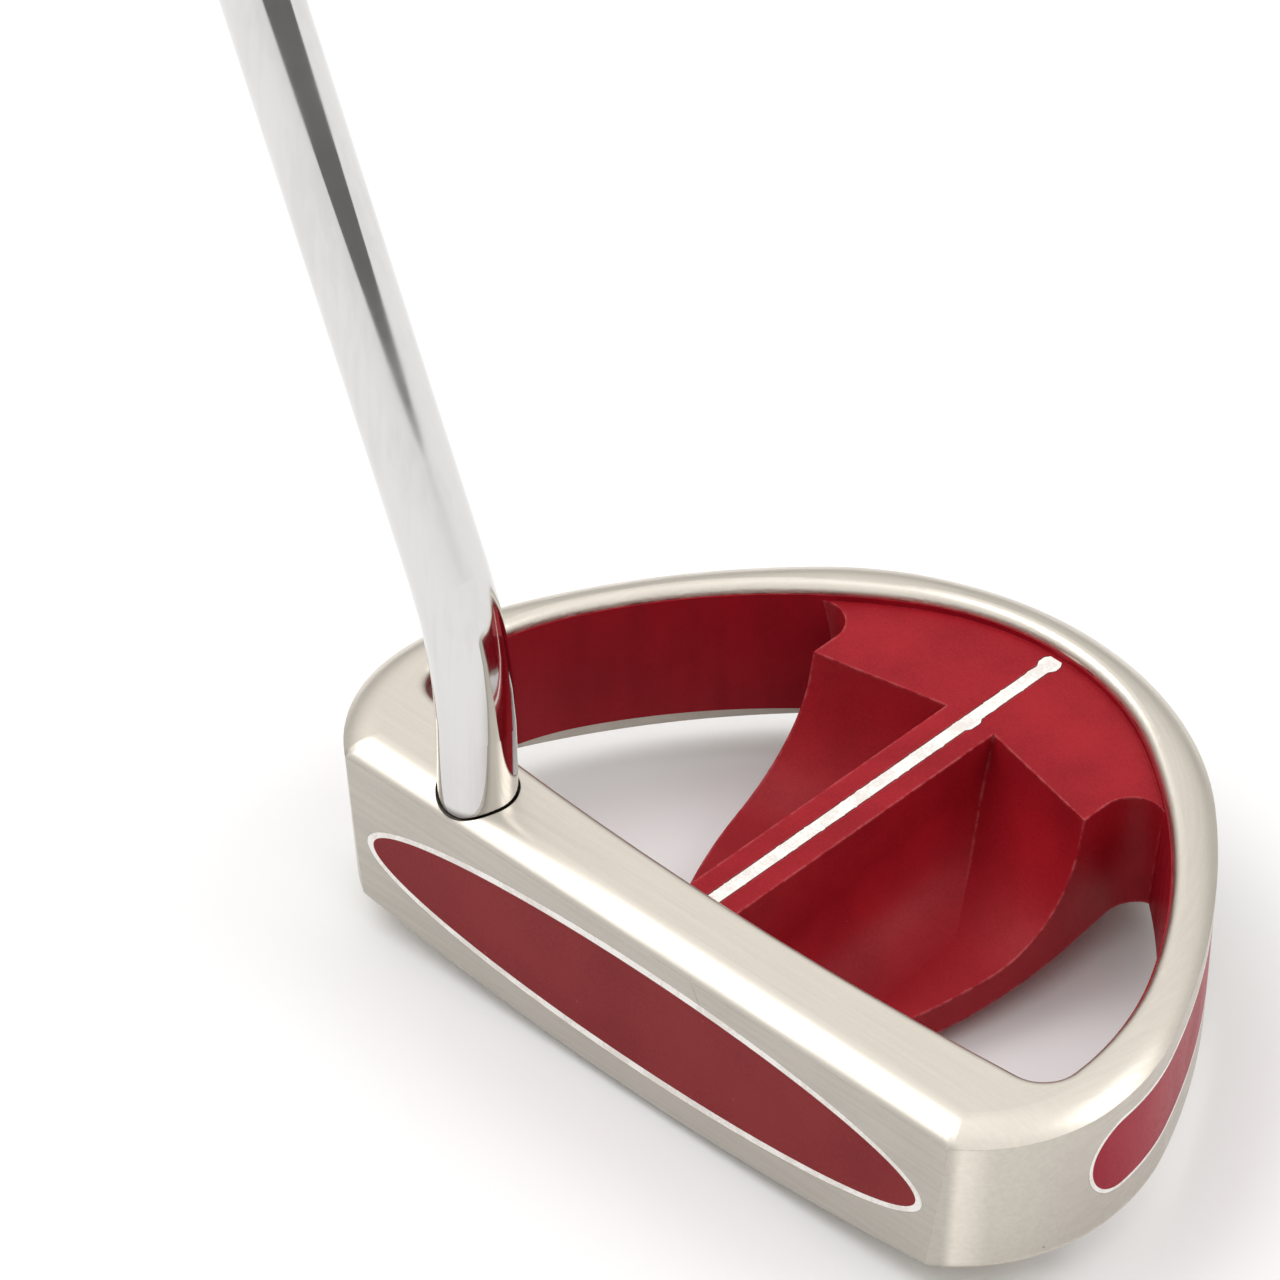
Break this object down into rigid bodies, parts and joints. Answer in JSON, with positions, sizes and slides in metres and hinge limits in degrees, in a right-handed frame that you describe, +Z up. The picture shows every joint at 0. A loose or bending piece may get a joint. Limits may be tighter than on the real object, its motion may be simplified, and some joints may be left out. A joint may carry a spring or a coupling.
{
  "type": "mallet putter",
  "caption": "Round-backed mallet putter head with a red centre body and sight line, a bent chrome shaft and a rubber grip.",
  "frame": {"origin": "middle of the flat contact pad on the sole", "axes": "+Z up, the face looks along -Y, +X towards the toe; the shaft leans to the heel (-X)"},
  "size_m": [0.379, 0.0977, 0.8177],
  "materials": {
    "satin_nickel": "fine satin",
    "core_red": "satin red lacquer",
    "enamel_red": "satin enamel",
    "insert_red": "fine grained",
    "inlay_red": "gloss",
    "white_fill": "enamel",
    "adhesive": "matte",
    "chrome_tube": "mirror chrome",
    "plain_steel": "machined",
    "tape": "paper tape",
    "grip_rubber": "matte with fine grain"
  },
  "bodies": {
    "root": {"head_frame": "satin_nickel", "core_body": "core_red", "toe_wall_enamel": "enamel_red", "heel_wall_enamel": "enamel_red", "sight_line": "white_fill", "face_insert": "insert_red", "insert_border": "white_fill", "insert_adhesive": "adhesive", "toe_inlay": "inlay_red", "toe_inlay_border": "white_fill", "heel_inlay": "inlay_red", "heel_inlay_border": "white_fill", "core_screws": "plain_steel", "shaft_tube": "chrome_tube", "shaft_post": "plain_steel", "shaft_epoxy": "adhesive", "grip_tape": "tape", "grip_sleeve": "grip_rubber", "grip_end_cap": "grip_rubber"}
  },
  "joints": []
}
